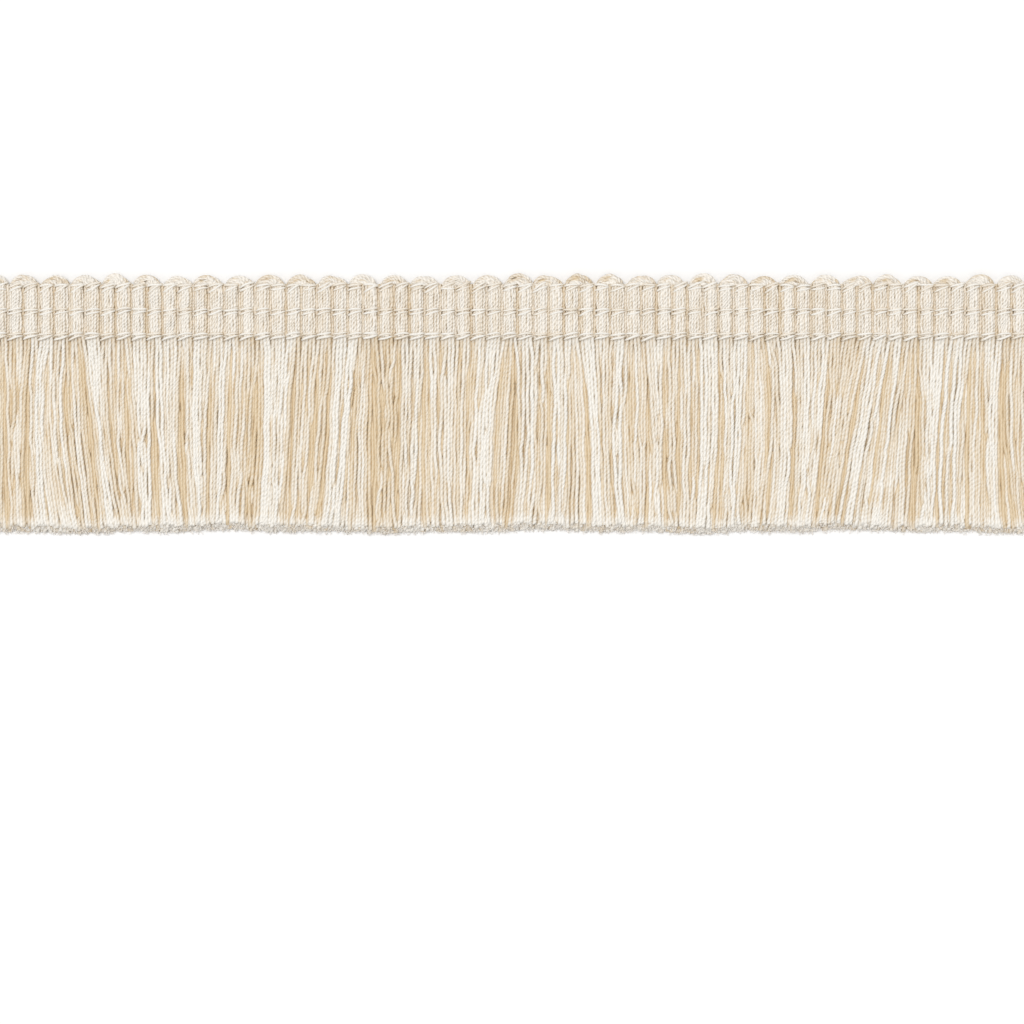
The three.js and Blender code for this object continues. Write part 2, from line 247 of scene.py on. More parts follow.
def tubes(name, paths, radii, sides, **values):
    """A mesh of tubes, one along each path, with a flat face over each open end. paths is
    count by steps by 3 and radii is count by steps. The map named Yarn has the turn about
    the tube and the distance along it in mm, and the map named OFBake lays the tubes side
    by side in one square. Each further value is an attribute, count by steps."""
    count, steps = radii.shape
    points = ring_points(paths, radii, sides)
    along = arc_lengths(paths)
    start = rng.uniform(0, 2, count)
    stretch = rng.uniform(*TWIST_STRETCH, count)
    shared = (along, sides, start, stretch, bake_strips(along, radii))
    groups = [wall_faces(*shared), end_faces(*shared, False), end_faces(*shared, True)]

    mesh = bpy.data.meshes.new(name)
    corners = np.concatenate([group[0].ravel() for group in groups]).astype(np.int32)
    face_sizes = np.concatenate([np.full(len(group[0]), group[0].shape[1]) for group in groups])
    mesh.vertices.add(count * steps * sides)
    mesh.vertices.foreach_set("co", (points * MM).astype(np.float32).ravel())
    mesh.loops.add(len(corners))
    mesh.loops.foreach_set("vertex_index", corners)
    mesh.polygons.add(len(face_sizes))
    mesh.polygons.foreach_set("loop_start", (np.cumsum(face_sizes) - face_sizes).astype(np.int32))
    mesh.polygons.foreach_set("loop_total", face_sizes.astype(np.int32))
    mesh.polygons.foreach_set("use_smooth", np.ones(len(face_sizes), dtype=bool))
    for place, title in enumerate(("Yarn", "OFBake"), 1):
        layer = mesh.uv_layers.new(name=title)
        spread = np.concatenate([group[place] for group in groups])
        layer.uv.foreach_set("vector", spread.astype(np.float32).ravel())
    for title, amounts in values.items():
        attribute = mesh.attributes.new(title, "FLOAT", "POINT")
        spread = np.repeat(np.broadcast_to(amounts, (count, steps)).ravel(), sides)
        attribute.data.foreach_set("value", spread.astype(np.float32))
    mesh.update(calc_edges=True)
    mesh.validate()
    piece = bpy.data.objects.new(name, mesh)
    bpy.context.scene.collection.objects.link(piece)
    return piece


def dress(piece, material, slot, *nodes):
    """Gives a piece its material, and puts it in place of CAD nodes. slot is not used."""
    piece.data.materials.append(material)
    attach(piece, "root")
    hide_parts(*nodes)


# Materials

PLIES = 2

# Scales of the noises, per metre: the plies' slipping, single fibres, the slow drift of the
# colour, and how strongly the painted shade in the grooves varies
SLIP_SCALE = 500.0
FIBRE_SCALE, FIBRE_DETAIL = 9000.0, 3.0
DRIFT_SCALE = 350.0
GROOVE_SHADE_SCALE = 900.0

# How far the noise moves the plies' phase
SLIP = 1.2

# Shares of the deep colour: painted shade in a groove, varied by a noise, times and plus;
# more at a yarn's side than on its top, times and plus; and from yarn to yarn, from the
# drift and the fibres
GROOVE_POWER = 1.5
GROOVE_SHADE, GROOVE_SHADE_BASE = 2.2, -0.5
SIDE_NOTCH, TOP_NOTCH = 0.9, 0.25
TINT_SHARE = 0.26
DRIFT_SHARE = 0.5
FIBRE_SHARE = 0.3

# The bump: how much the fibres count beside the plies, and how much of it deep shade takes
FIBRE_RELIEF = 0.35
SHADE_FLATTENS = 0.6

ROUGHNESS, FIBRE_ROUGHNESS = 0.32, 0.2
SHEEN = 0.1
SHEEN_ROUGHNESS = 0.4
SPECULAR = 0.8


def link_maths(tree, operation, *inputs):
    """A Math node on numbers or sockets; returns its result."""
    node = tree.nodes.new("ShaderNodeMath")
    node.operation = operation
    for place, value in enumerate(inputs):
        if isinstance(value, (int, float)):
            node.inputs[place].default_value = value
        else:
            tree.links.new(value, node.inputs[place])
    return node.outputs[0]


def mix_colours(tree, share, first, second):
    """A Mix node between two colours; returns its result."""
    node = tree.nodes.new("ShaderNodeMix")
    node.data_type = "RGBA"
    tree.links.new(share, node.inputs["Factor"])
    for socket, colour in ((node.inputs[6], first), (node.inputs[7], second)):
        socket.default_value = (*colour, 1.0)
    return node.outputs[2]


def attribute(tree, name):
    """A named attribute's value."""
    node = tree.nodes.new("ShaderNodeAttribute")
    node.attribute_name = name
    return node.outputs["Fac"]


def noise(tree, scale, detail=2.0):
    """Noise on the object's own coordinates, which are in metres."""
    place = tree.nodes.new("ShaderNodeTexCoord")
    node = tree.nodes.new("ShaderNodeTexNoise")
    node.inputs["Scale"].default_value = scale
    node.inputs["Detail"].default_value = detail
    tree.links.new(place.outputs["Object"], node.inputs["Vector"])
    return node.outputs["Fac"]


def yarn_place(tree):
    """The turn about the yarn, from 0 to 1 and 0.25 on top, and the distance along it."""
    yarn_map = tree.nodes.new("ShaderNodeUVMap")
    yarn_map.uv_map = "Yarn"
    parts = tree.nodes.new("ShaderNodeSeparateXYZ")
    tree.links.new(yarn_map.outputs["UV"], parts.inputs[0])
    return parts.outputs["X"], parts.outputs["Y"]


def plied_surface(tree, turn, distance, lay):
    """How high the surface of a plied yarn stands, from 0 in a groove to 1 on a ply's
    back: the size of cos(plies pi (turn + distance / lay)), its phase moved by a noise."""
    phase = link_maths(tree, "ADD", turn, link_maths(tree, "DIVIDE", distance, lay))
    phase = link_maths(tree, "MULTIPLY_ADD", noise(tree, SLIP_SCALE), SLIP, phase)
    wave = link_maths(tree, "COSINE", link_maths(tree, "MULTIPLY", phase, np.pi * PLIES))
    return link_maths(tree, "ABSOLUTE", wave)


def flank(tree, turn):
    """0 on top of a yarn and 1 at its sides and below: 1 less the sine of its turn."""
    height = link_maths(tree, "SINE", link_maths(tree, "MULTIPLY", turn, 2 * np.pi))
    return link_maths(tree, "SUBTRACT", 1.0, link_maths(tree, "MAXIMUM", height, 0.0))


def about_zero(tree, value, size):
    """A value from 0 to 1 moved to lie evenly about 0: size (value - 1/2)."""
    return link_maths(tree, "MULTIPLY_ADD", value, size, -size / 2)


def cotton_material(name, light, lay, relief, round_shade):
    """Undyed cotton yarn. The colour goes from light to tan with painted shade: the piece's own
    shade attribute, more in the grooves between plies and round the yarn's sides. It also
    changes with a slow noise, and differs a little from yarn to yarn. The bump is the plies'
    surface and a fine noise of fibres, relief millimetres high, and is flatter in deep shade."""
    material = bpy.data.materials.new(name)
    material.use_nodes = True
    tree = material.node_tree
    shader = tree.nodes["Principled BSDF"]
    turn, distance = yarn_place(tree)
    ply = plied_surface(tree, turn, distance, lay)
    fibres = noise(tree, FIBRE_SCALE, FIBRE_DETAIL)
    # Painted shade in the grooves between plies, made stronger or weaker by a noise, and more at the yarn's
    # sides
    groove = link_maths(tree, "POWER", link_maths(tree, "SUBTRACT", 1.0, ply), GROOVE_POWER)
    groove_shade_strength = link_maths(tree, "MULTIPLY_ADD", noise(tree, GROOVE_SHADE_SCALE), GROOVE_SHADE, GROOVE_SHADE_BASE)
    side = flank(tree, turn)
    notch = link_maths(tree, "MULTIPLY_ADD", side, SIDE_NOTCH, TOP_NOTCH)
    share = attribute(tree, "shade")
    # The share of the tan colour: painted shade from the shade attribute, in the grooves and round the
    # yarn's sides, then tone that differs from yarn to yarn and with the noises
    for part in (
        link_maths(tree, "MULTIPLY", groove, link_maths(tree, "MULTIPLY", groove_shade_strength, notch)),
        link_maths(tree, "MULTIPLY", side, round_shade),
        link_maths(tree, "MULTIPLY", attribute(tree, "tint"), TINT_SHARE),
        about_zero(tree, noise(tree, DRIFT_SCALE), DRIFT_SHARE),
        about_zero(tree, fibres, FIBRE_SHARE),
    ):
        share = link_maths(tree, "ADD", share, part)
    clamped = tree.nodes.new("ShaderNodeClamp")
    tree.links.new(share, clamped.inputs["Value"])
    tree.links.new(mix_colours(tree, clamped.outputs[0], light, SHADE_TAN), shader.inputs["Base Color"])

    height = link_maths(tree, "MULTIPLY_ADD", fibres, FIBRE_RELIEF, ply)
    fade = link_maths(tree, "MINIMUM", link_maths(tree, "MAXIMUM", attribute(tree, "shade"), 0.0), 1.0)
    kept = link_maths(tree, "MULTIPLY_ADD", fade, -SHADE_FLATTENS, 1.0)
    bump = tree.nodes.new("ShaderNodeBump")
    bump.inputs["Strength"].default_value = 1.0
    bump.inputs["Distance"].default_value = relief * MM
    tree.links.new(link_maths(tree, "MULTIPLY", height, kept), bump.inputs["Height"])
    tree.links.new(bump.outputs["Normal"], shader.inputs["Normal"])

    rough = link_maths(tree, "MULTIPLY_ADD", fibres, FIBRE_ROUGHNESS, ROUGHNESS)
    tree.links.new(rough, shader.inputs["Roughness"])
    shader.inputs["Sheen Weight"].default_value = SHEEN
    shader.inputs["Sheen Roughness"].default_value = SHEEN_ROUGHNESS
    shader.inputs["Specular IOR Level"].default_value = SPECULAR
    return material


# The skirt's yarns

YARNS_PER_RIB = 4
ROOT_Y = CHAIN_ROWS[2] + 0.12
SKIRT_STEPS = 55

# The layers of the skirt's yarns: how far their yarns are moved between the ribs' slots, the
# height of their middles at root, waist and tip, how far down they reach and how ragged
# their ends are, how much single yarns stray, how far they follow the tufts, how tightly a
# tuft is drawn together at its waist and tip, how high its crown is, and how much painted
# shade deepens the colour beside a parting. Lengths are in millimetres
LAYERS = {
    "front": dict(offset=0.0, heights=(1.1, 1.08, 0.98), reach=-11.6, ragged=0.15, stray=0.1,
                  follow=1.0, squeeze=(0.76, 0.66), crown=0.2, parting_shade=0.4),
    "middle": dict(offset=0.5, heights=(0.84, 0.8, 0.74), reach=-11.82, ragged=0.16, stray=0.11,
                   follow=0.85, squeeze=(1.0, 1.0), crown=0.06, parting_shade=0.75),
    "lower": dict(offset=0.0, heights=(0.5, 0.5, 0.46), reach=-11.98, ragged=0.16, stray=0.11,
                  follow=0.5, squeeze=(1.0, 1.0), crown=0.0, parting_shade=0.75),
    "back": dict(offset=0.5, heights=(0.2, 0.2, 0.2), reach=-12.08, ragged=0.14, stray=0.11,
                 follow=0.4, squeeze=(1.0, 1.0), crown=0.0, parting_shade=0.75),
}

# The spread of a yarn's straying from one station to the next, the share of yarns that lie
# loose, and how much more those stray
STRAY_SPREAD = 0.7
LOOSE_SHARE = 0.1
LOOSE_STRAY = 3.5

# At the roots yarns are drawn in towards the middle of their rib, by a share of their place
# in it. They are free of the heading, and wave, from a share of their length down
ROOT_PINCH, PINCH_LENGTH = 0.2, 0.15
FREE_FROM = 0.12

# Waves of the yarns: the turns each makes down a yarn, and its size in millimetres
SIDE_WAVES = ((1.6, 0.05), (3.3, 0.035), (7.0, 0.02))
HEIGHT_WAVES = ((1.7, 0.05), (4.1, 0.03))
KINKS = ((3.5, 0.03), (7.0, 0.015), (11.0, 0.012))
KINKS_FROM = 0.1

# How high proud tufts are lifted, and how low the yarns start where they leave the heading
PROUD_LIFT = 0.2
ROOT_DIP, DIP_LENGTH = 0.1, 0.05

# Painted shade: how much deeper the colour is in the furrows between ribs and in tufts that lie
# low; tufts prouder than LEVEL_PROUD get painted light instead
FURROW_SHADE, FURROW_LENGTH = 0.5, 0.08
LOW_SHADE, LEVEL_PROUD = 0.25, 0.6

# Settling: the radius at which yarns press on each other, as a share of their own; the
# rounds; how many yarns along a push reaches; shares of an overlap pushed away in a round,
# of the way back sideways and upwards, and of the evening; and the sinking in a round, in
# millimetres, and from how far down it is full
PRESSED = 0.82
ROUNDS = 100
PUSH_REACH = 8
PUSH = 0.3
PULL_SIDEWAYS, PULL_UP = 0.11, 0.02
EVENING = 0.2
SINK, SINK_FROM = 0.038, 0.08

# The painted shade from depth in the pile: within each span, in millimetres, its weight; the
# reach in yarns; and the share of the deep colour for a millimetre of depth, and at most
DEPTHS = ((0.34, 1.5), (1.0, 1.1))
PILE_REACH = 10
DEPTH_SHADE, DEEPEST_SHADE = 1.35, 0.7

# At the cut ends yarns spread, and painted light makes their colour lighter
TIP_FLARE, FLARE_FROM, FLARE_LENGTH = 0.14, 0.93, 0.06
PAINTED_TIP_LIGHT, LIGHT_FROM, LIGHT_LENGTH = 0.25, 0.94, 0.05


def ease(values):
    """Smooth step from 0 to 1: 3 t squared less 2 t cubed."""
    t = np.clip(values, 0, 1)
    return t * t * (3 - 2 * t)


def tuft_places(roots, squeeze):
    """For yarns with these roots: their place across their tuft from -1 to 1, where they
    lie at the stations below the first, and how proud the tuft lies. squeeze draws the
    yarns of a tuft together at each station, away from the partings beside it."""
    at = np.clip(np.searchsorted(PARTINGS[:, ROOT], roots, side="right") - 1, 0, len(PARTINGS) - 2)
    left, right = PARTINGS[at, :PROUD], PARTINGS[at + 1, :PROUD]
    share = np.clip((roots - left[:, ROOT]) / (right - left)[:, ROOT], 0, 1)
    across = 2 * share - 1
    places = (left + right)[:, 1:] / 2 + across[:, None] * squeeze * (right - left)[:, 1:] / 2
    return across[:, None], places, PARTINGS[at, PROUD][:, None]


def through_stations(root, places, down):
    """The curve of the second degree that goes through the root and through the places at
    the stations below it: a sum of the places, each times the product over the other
    stations of (down - other) / (own - other)."""
    x = root * np.ones_like(down)
    for own in range(1, len(STATIONS)):
        weight = np.ones_like(down)
        for other in range(len(STATIONS)):
            if other != own:
                weight = weight * (down - STATIONS[other]) / (STATIONS[own] - STATIONS[other])
        x = x + (places[:, own - 1:own] - root) * weight
    return x


def slow_waves(down, count, sizes):
    """Sideways or up and down drift of yarns: the sum of a few sines of how far down the
    yarn, each with its own number of turns, and a random phase for each yarn."""
    total = 0
    for turns, size in sizes:
        total = total + size * np.sin(2 * np.pi * (turns * down + rng.random((count, 1))))
    return total


def skirt_layer(layer):
    """First courses of one layer's yarns. Down a yarn x is the curve through its root and
    its tuft's places at the stations, with some straying and slow waves. y falls evenly to
    an edge that wanders as two sines of x. z is a curve through the layer's heights, plus
    the tuft's round crown, which swells as sin(pi down to the power 0.8) and stays up at
    the tip. The painted shade is deepest beside partings and in the furrows at the roots,
    and deeper in tufts that lie low; the proudest tufts get a little painted light."""
    count = RIB_COUNT * YARNS_PER_RIB
    rib = np.repeat(np.arange(RIB_COUNT), YARNS_PER_RIB)
    slot = (np.tile(np.arange(YARNS_PER_RIB), RIB_COUNT) + 0.5 + layer["offset"]) / YARNS_PER_RIB
    slot = (np.where(slot > 1, slot - 1, slot) - 0.5)[:, None]
    root = (rib[:, None] + 0.5 + slot) * PITCH - END
    across, places, proud = tuft_places(root[:, 0], layer["squeeze"])
    down = np.linspace(0, 1, SKIRT_STEPS)[None]

    places = root + layer["follow"] * (places - root)
    loose = 1 + LOOSE_STRAY * (rng.random((count, 1)) < LOOSE_SHARE)
    straying = np.cumsum(rng.normal(0, STRAY_SPREAD, places.shape), axis=1)
    places = places + layer["stray"] * loose * straying
    pinched = slot * PITCH * -ROOT_PINCH * (1 - ease(down / PINCH_LENGTH))
    waves = slow_waves(down, count, SIDE_WAVES)
    x = through_stations(root, places, down) + pinched + waves * ease(down / FREE_FROM)

    edge = 0.12 * np.sin(root * 0.21 + 1.0) + 0.08 * np.sin(root * 0.63)
    reach = layer["reach"] + edge + rng.uniform(-1, 1, (count, 1)) * layer["ragged"]
    y = ROOT_Y + (reach - ROOT_Y) * down

    first, second, third = layer["heights"]
    z = first + (second - first) * ease(down / 0.5) + (third - second) * ease((down - 0.5) / 0.5)
    swell = np.sin(np.pi * down ** 0.8) + 0.5 * ease((down - 0.6) / 0.4)
    crown = layer["crown"] * (0.6 + 0.8 * np.clip(proud, 0, 1))
    z = z + crown * (1 - 1.3 * across ** 2) * swell
    z = z + PROUD_LIFT * proud * swell * (layer["crown"] > 0)
    z = z + slow_waves(down, count, HEIGHT_WAVES) * ease(down / FREE_FROM)
    z = z - ROOT_DIP * (1 - ease(down / DIP_LENGTH))

    # Painted shade in the root furrows, in low tufts and beside partings, and painted light in the proudest
    # tufts
    furrow = (2 * np.abs(slot)) ** 3 * (1 - ease(down / FURROW_LENGTH))
    parting = np.abs(across) ** 5 * ease(down / 0.4)
    shade = FURROW_SHADE * furrow - LOW_SHADE * (proud - LEVEL_PROUD) + layer["parting_shade"] * parting
    return np.stack(np.broadcast_arrays(x, y, z, shade))


def beside(x, z, reach):
    """Yarns in order of x at each station, and the offsets from each to those next to it,
    out to reach places along: the order, and for each place the offsets in x and z."""
    order = np.argsort(x, axis=0)
    sorted_x = np.take_along_axis(x, order, 0)
    sorted_z = np.take_along_axis(z, order, 0)
    offsets = [
        (sorted_x[place:] - sorted_x[:-place], sorted_z[place:] - sorted_z[:-place])
        for place in range(1, reach)
    ]
    return order, offsets


def unsort(values, order):
    """Values in order of x, put back in the order of the yarns."""
    back = np.empty_like(values)
    np.put_along_axis(back, order, values, 0)
    return back


def settle(x, z, radius, sink):
    """Lays yarns down on each other. At each station a yarn is a disc. In a round each disc
    sinks a little, is pushed off each of its neighbours by a share of their overlap, is
    drawn towards its first place, and is evened with the stations before and after it. No
    disc sinks into the table."""
    first_x, first_z = x, z
    x, z = x.copy(), z.copy()
    for _ in range(ROUNDS):
        order, offsets = beside(x, z, PUSH_REACH)
        push_x, push_z = np.zeros_like(x), np.zeros_like(z)
        for place, (off_x, off_z) in enumerate(offsets, 1):
            gap = np.hypot(off_x, off_z) + 1e-6
            share = PUSH * np.clip(2 * radius - gap, 0, None) / gap
            push_x[place:] += share * off_x
            push_x[:-place] -= share * off_x
            push_z[place:] += share * off_z
            push_z[:-place] -= share * off_z
        x += unsort(push_x, order) + PULL_SIDEWAYS * (first_x - x)
        z += unsort(push_z, order) + PULL_UP * (first_z - z) - sink
        for values in (x, z):
            values[:, 1:-1] += EVENING * (values[:, 2:] + values[:, :-2] - 2 * values[:, 1:-1])
        np.maximum(z, radius, out=z)
    return x, z


def depth_in_pile(x, z, span):
    """How far below the highest yarn within the span each yarn lies, at each station. Yarns
    out to half a span aside count fully, and those from there to one and a half less."""
    order, offsets = beside(x, z, PILE_REACH)
    above = np.zeros_like(x)
    for place, (off_x, off_z) in enumerate(offsets, 1):
        near = np.clip(1.5 - off_x / span, 0, 1)
        above[:-place] = np.maximum(above[:-place], near * off_z)
        above[place:] = np.maximum(above[place:], -near * off_z)
    return unsort(above, order)


def skirt():
    """Centre lines, radii and values of all the skirt's yarns, by the names of the layers.
    The yarns are settled on each other as one pile. Their painted shade is deeper by their
    depth in it, half as much at the roots and almost not at the cut ends, which painted
    light makes lighter."""
    x, y, z, shade = np.concatenate([skirt_layer(layer) for layer in LAYERS.values()], axis=1)
    down = np.linspace(0, 1, SKIRT_STEPS)[None]
    x, z = settle(x, z, PRESSED * SKIRT_YARN, SINK * ease(down / SINK_FROM))
    depth = sum(weight * depth_in_pile(x, z, span) for span, weight in DEPTHS)
    x = x + slow_waves(down, len(x), KINKS) * ease(down / KINKS_FROM)
    z = z + slow_waves(down, len(x), KINKS) * ease(down / KINKS_FROM)
    flare = 1 + TIP_FLARE * ease((down - FLARE_FROM) / FLARE_LENGTH)
    radii = SKIRT_YARN * rng.uniform(*SKIRT_YARN_SPREAD, (len(x), 1)) * flare
    z = np.maximum(z, radii)
    # Painted shade from depth in the pile
    at_roots = 0.5 + 0.5 * ease(down / 0.2)
    at_ends = 1 - 0.9 * ease((down - 0.92) / 0.06)
    shade = shade + np.clip(DEPTH_SHADE * depth, 0, DEEPEST_SHADE) * at_roots * at_ends
    # Painted light: a lighter colour at the cut ends
    shade = shade - PAINTED_TIP_LIGHT * ease((down - LIGHT_FROM) / LIGHT_LENGTH)
    paths, radii, values = yarns(x, y, z, radii, shade, rng.uniform(-1, 1, (len(x), 1)))
    parts = {}
    for place, name in enumerate(LAYERS):
        part = slice(place * RIB_COUNT * YARNS_PER_RIB, (place + 1) * RIB_COUNT * YARNS_PER_RIB)
        parts[name] = paths[part], radii[part], {key: value[part] for key, value in values.items()}
    return parts


def every_step(parts, stride):
    """The same yarns with fewer steps: every stride-th one, counted back from the tip."""
    paths, radii, values = parts
    keep = slice((paths.shape[1] - 1) % stride, None, stride)
    return paths[:, keep], radii[:, keep], {key: value[:, keep] for key, value in values.items()}


# The fibres of the cut ends: how many to a yarn and their steps, how far above a yarn's end
# they may start and how long they are in millimetres, how far they turn aside at once and
# on their way in radians, and how much lighter painted light makes them
FIBRES_PER_YARN = 2
FIBRE_STEPS = 4
FIBRE_START = 0.12
FIBRE_LENGTHS = (0.1, 0.36)
FIBRE_TURN, FIBRE_BEND = 0.4, 1.0
PAINTED_FIBRE_LIGHT = 0.25


def tip_fibres(paths, radii):
    """Fine fibres of the cut ends. A fibre leaves the top of a yarn close to its end, keeps
    on down the yarn while it turns aside by an even bend, and ends a few tenths of a
    millimetre on: its direction turns from a first heading by a share of its length."""
    ends = np.repeat(paths[:, -1], FIBRES_PER_YARN, axis=0)
    size = np.repeat(radii[:, -1], FIBRES_PER_YARN)[:, None]
    count = len(ends)
    along = np.linspace(0, 1, FIBRE_STEPS)[None]
    heading = rng.normal(0, FIBRE_TURN, (count, 1)) + rng.normal(0, FIBRE_BEND, (count, 1)) * along
    stride = rng.uniform(*FIBRE_LENGTHS, (count, 1)) / (FIBRE_STEPS - 1)
    sideways = rng.uniform(-0.9, 0.9, (count, 1))
    x = ends[:, :1] + size * sideways + np.cumsum(np.sin(heading) * stride, 1)
    y = ends[:, 1:2] + rng.uniform(0.0, FIBRE_START, (count, 1)) - np.cumsum(np.cos(heading) * stride, 1)
    z = ends[:, 2:] + size * (1 - 0.6 * sideways ** 2) * rng.uniform(0.6, 1.0, (count, 1))
    z = np.maximum(z - 0.4 * along ** 2 * rng.random((count, 1)), 0.03)
    y = np.maximum(y, SKIRT_LOWEST_Y + 0.02)
    fine = CUT_FIBRE * (1 - 0.4 * along)
    return yarns(x, y, z, fine, -PAINTED_FIBRE_LIGHT, rng.uniform(-1, 1, (count, 1)))


def yarns(x, y, z, radii, shade, tint):
    """Centre lines, radii and values of some yarns, all brought to count by steps."""
    x, y, z, radii, shade, tint = np.broadcast_arrays(x, y, z, radii, shade, tint)
    return np.stack([x, y, z], -1), radii, dict(shade=shade, tint=tint)


# The heading's yarns, in millimetres

# Yarns across a rib, as shares of its half width: on its face, and of the core below it
FACE_SLOTS = np.array([-0.9, -0.46, 0.0, 0.46, 0.9])
CORE_SLOTS = np.array([-0.62, 0.0, 0.62])
CORE_SINK = 0.17

# A rib's half width and crest at the chain rows, what they gain between them, the height at
# its sides, and how its yarns wind: their sway, and the length of a turn
RIB_HALF, RIB_SWELL = 0.41, 0.14
RIB_CREST, CREST_SWELL = 1.23, 0.09
RIB_SIDE_Z = 0.72
RIB_SWAY = 0.05
RIB_WIND = (1.4, 2.4)

# The layers of yarn in the depth of the heading, and how far in from the trim's ends the
# middles of their yarns keep
BACKING_PER_RIB = 4
BACKING_MARGIN = 0.2
BACKING_Z, BACKING_STEP = 0.21, 0.7
# Painted shade on the backing, which shows only deep in the furrows
BACKING_SHADE = 0.45

# Picots: yarns to a loop, the half width of the outer yarn and how much less the inner one
# has, the heights of their middles on the outside and what the inside adds, and how far the
# loop's outside rises in its middle
PICOT_YARNS = 8
PICOT_HALF, PICOT_NARROWS = 1.22, 0.7
PICOT_Z, PICOT_RISES = 0.5, 0.55
PICOT_ARCH = 0.16

# Chain stitches: the half width of a strand, the height of its middle and how far its ends
# fall, and how far the lower strand lies below the upper
STITCH_HALF = 0.7
STITCH_Z, STITCH_FALL = 1.38, 0.42
STRAND_GAP = 0.36


def heading_swell(y):
    """0 at a chain row and 1 half way between two: the size of sin(pi y / spacing)."""
    return np.abs(np.sin(np.pi * (y - CHAIN_ROWS[2]) / CHAIN_SPACING))


def rib_yarns(slots, sink, thickness, steps):
    """Yarns of the ribs. Across a rib they sit at the slots on a half ellipse that narrows
    and sinks at the chain rows, and they wind a little about each other. Those of the core
    sink below the face."""
    count = RIB_COUNT * len(slots)
    centre = np.repeat((np.arange(RIB_COUNT) + 0.5) * PITCH - END, len(slots))[:, None]
    y = np.linspace(ROOT_Y - 0.25, CHAIN_ROWS[0] + 0.3, steps)[None]
    swell = heading_swell(y)
    half = RIB_HALF + RIB_SWELL * swell ** 0.7
    crest = RIB_CREST + CREST_SWELL * swell ** 0.8 - sink
    wind = np.sin(2 * np.pi * (y / rng.uniform(*RIB_WIND, (count, 1)) + rng.random((count, 1))))
    across = np.tile(slots, RIB_COUNT)[:, None] + RIB_SWAY * wind
    x = centre + across * half + rng.normal(0, 0.02, (count, 1))
    core = RIB_SIDE_Z - sink
    z = core + (crest - core) * np.sqrt(np.clip(1 - (0.86 * across) ** 2, 0, 1))
    z = z + 0.03 * np.cos(2 * np.pi * (y / 1.9 + rng.random((count, 1))))
    radii = thickness * rng.uniform(*RIB_YARN_SPREAD, (count, 1))
    # Painted shade: deeper at the rib's sides and on the sunken core; painted light: lighter at the chain
    # rows
    shade = 0.28 * across ** 4 - 0.1 * (1 - swell) + 2 * sink
    return yarns(x, y, z, radii, shade, rng.uniform(-1, 1, (count, 1)))


def backing_yarns(steps):
    """The yarns in the depth of the heading, side by side on the table and a second layer
    over them. Just below each chain row they sink a little, where the stitches go in, as
    exp of minus the square of the distance over 0.22 mm."""
    count = 2 * RIB_COUNT * BACKING_PER_RIB
    place = np.arange(count)
    x = ((place // 2 + 0.5) / BACKING_PER_RIB * PITCH - END)[:, None]
    upper = (place % 2)[:, None]
    y = np.linspace(ROOT_Y - 0.3, CHAIN_ROWS[0] + 0.28, steps)[None]
    sway = 0.03 * np.sin(2 * np.pi * (y / 2.2 + rng.random((count, 1))))
    x = x + 0.5 * upper * PITCH / BACKING_PER_RIB + sway
    x = np.clip(x, -END + BACKING_MARGIN, END - BACKING_MARGIN)
    below_row = np.mod(CHAIN_ROWS[0] - y, CHAIN_SPACING) - 0.5
    z = BACKING_Z + BACKING_STEP * upper - 0.06 * upper * np.exp(-(below_row / 0.22) ** 2)
    return yarns(x, y, z, BACKING_YARN, BACKING_SHADE, rng.uniform(-1, 1, (count, 1)))


def picot_yarns(steps):
    """The loops of the picot edge. Each goes up out of one rib, over in a half ellipse and
    down into the next: x is minus the half width times cos t, y the height times sin t to
    the power 1.2. The yarns of a loop lie from the outside in and wind about each other.
    The colour is deeper, as painted shade, on the inside at the left and on the outside at the right, and
    lighter, as painted light, on the innermost yarns."""
    picots = RIB_COUNT // 2
    count = picots * PICOT_YARNS
    t = np.linspace(-0.12, 1.12, steps)[None] * np.pi
    over = np.sin(np.clip(t, 0, np.pi))

    def each(size):
        """A random amount for each picot, the same for all its yarns."""
        return np.repeat(rng.normal(0, size, (picots, 1)), PICOT_YARNS, axis=0)

    centre = np.repeat((2 * np.arange(picots) + 1) * PITCH - END, PICOT_YARNS)[:, None] + each(0.05)
    rank = np.tile(np.arange(PICOT_YARNS) / (PICOT_YARNS - 1), picots)[:, None]
    phase = rng.random((count, 1))
    rank = rank + 0.26 * np.sin(2 * np.pi * (t / np.pi * rng.uniform(0.7, 1.4, (count, 1)) + phase)) * over
    rank = np.clip(rank, 0, 1)
    half = PICOT_HALF - PICOT_NARROWS * rank + rng.normal(0, 0.04, (count, 1))
    base_y = CHAIN_ROWS[0] + 0.1
    rise = PICOT_PEAK_Y - RIB_YARN - 0.24 - base_y + each(0.08) + rng.normal(0, 0.03, (count, 1))
    rise = rise * (1 - 0.85 * rank)
    x = centre - half * np.cos(t) + each(0.1) * over
    y = base_y + rise * over ** 1.2 - 0.9 * np.abs(t - np.clip(t, 0, np.pi))
    y = np.minimum(y, PICOT_PEAK_Y - RIB_YARN)
    z = PICOT_Z + PICOT_RISES * rank + PICOT_ARCH * over * (1 - rank)
    z = z + 0.12 * np.cos(2 * np.pi * (t / np.pi * 1.2 + phase)) * over
    radii = RIB_YARN * rng.uniform(*PICOT_YARN_SPREAD, (count, 1))
    # Painted shade on the inside at the left and the outside at the right, painted light on the innermost
    # yarns
    left_inside = np.exp(-((t / np.pi - 0.34) / 0.15) ** 2 - ((rank - 0.4) / 0.25) ** 2)
    right_outside = np.exp(-((t / np.pi - 0.85) / 0.15) ** 2) * (1 - rank)
    shade = 0.8 * left_inside + 0.4 * right_outside - 0.2 - 0.2 * ease(3 * rank - 2)
    return yarns(x, y, z, radii, shade, rng.uniform(-2.6, 2.6, (count, 1)))


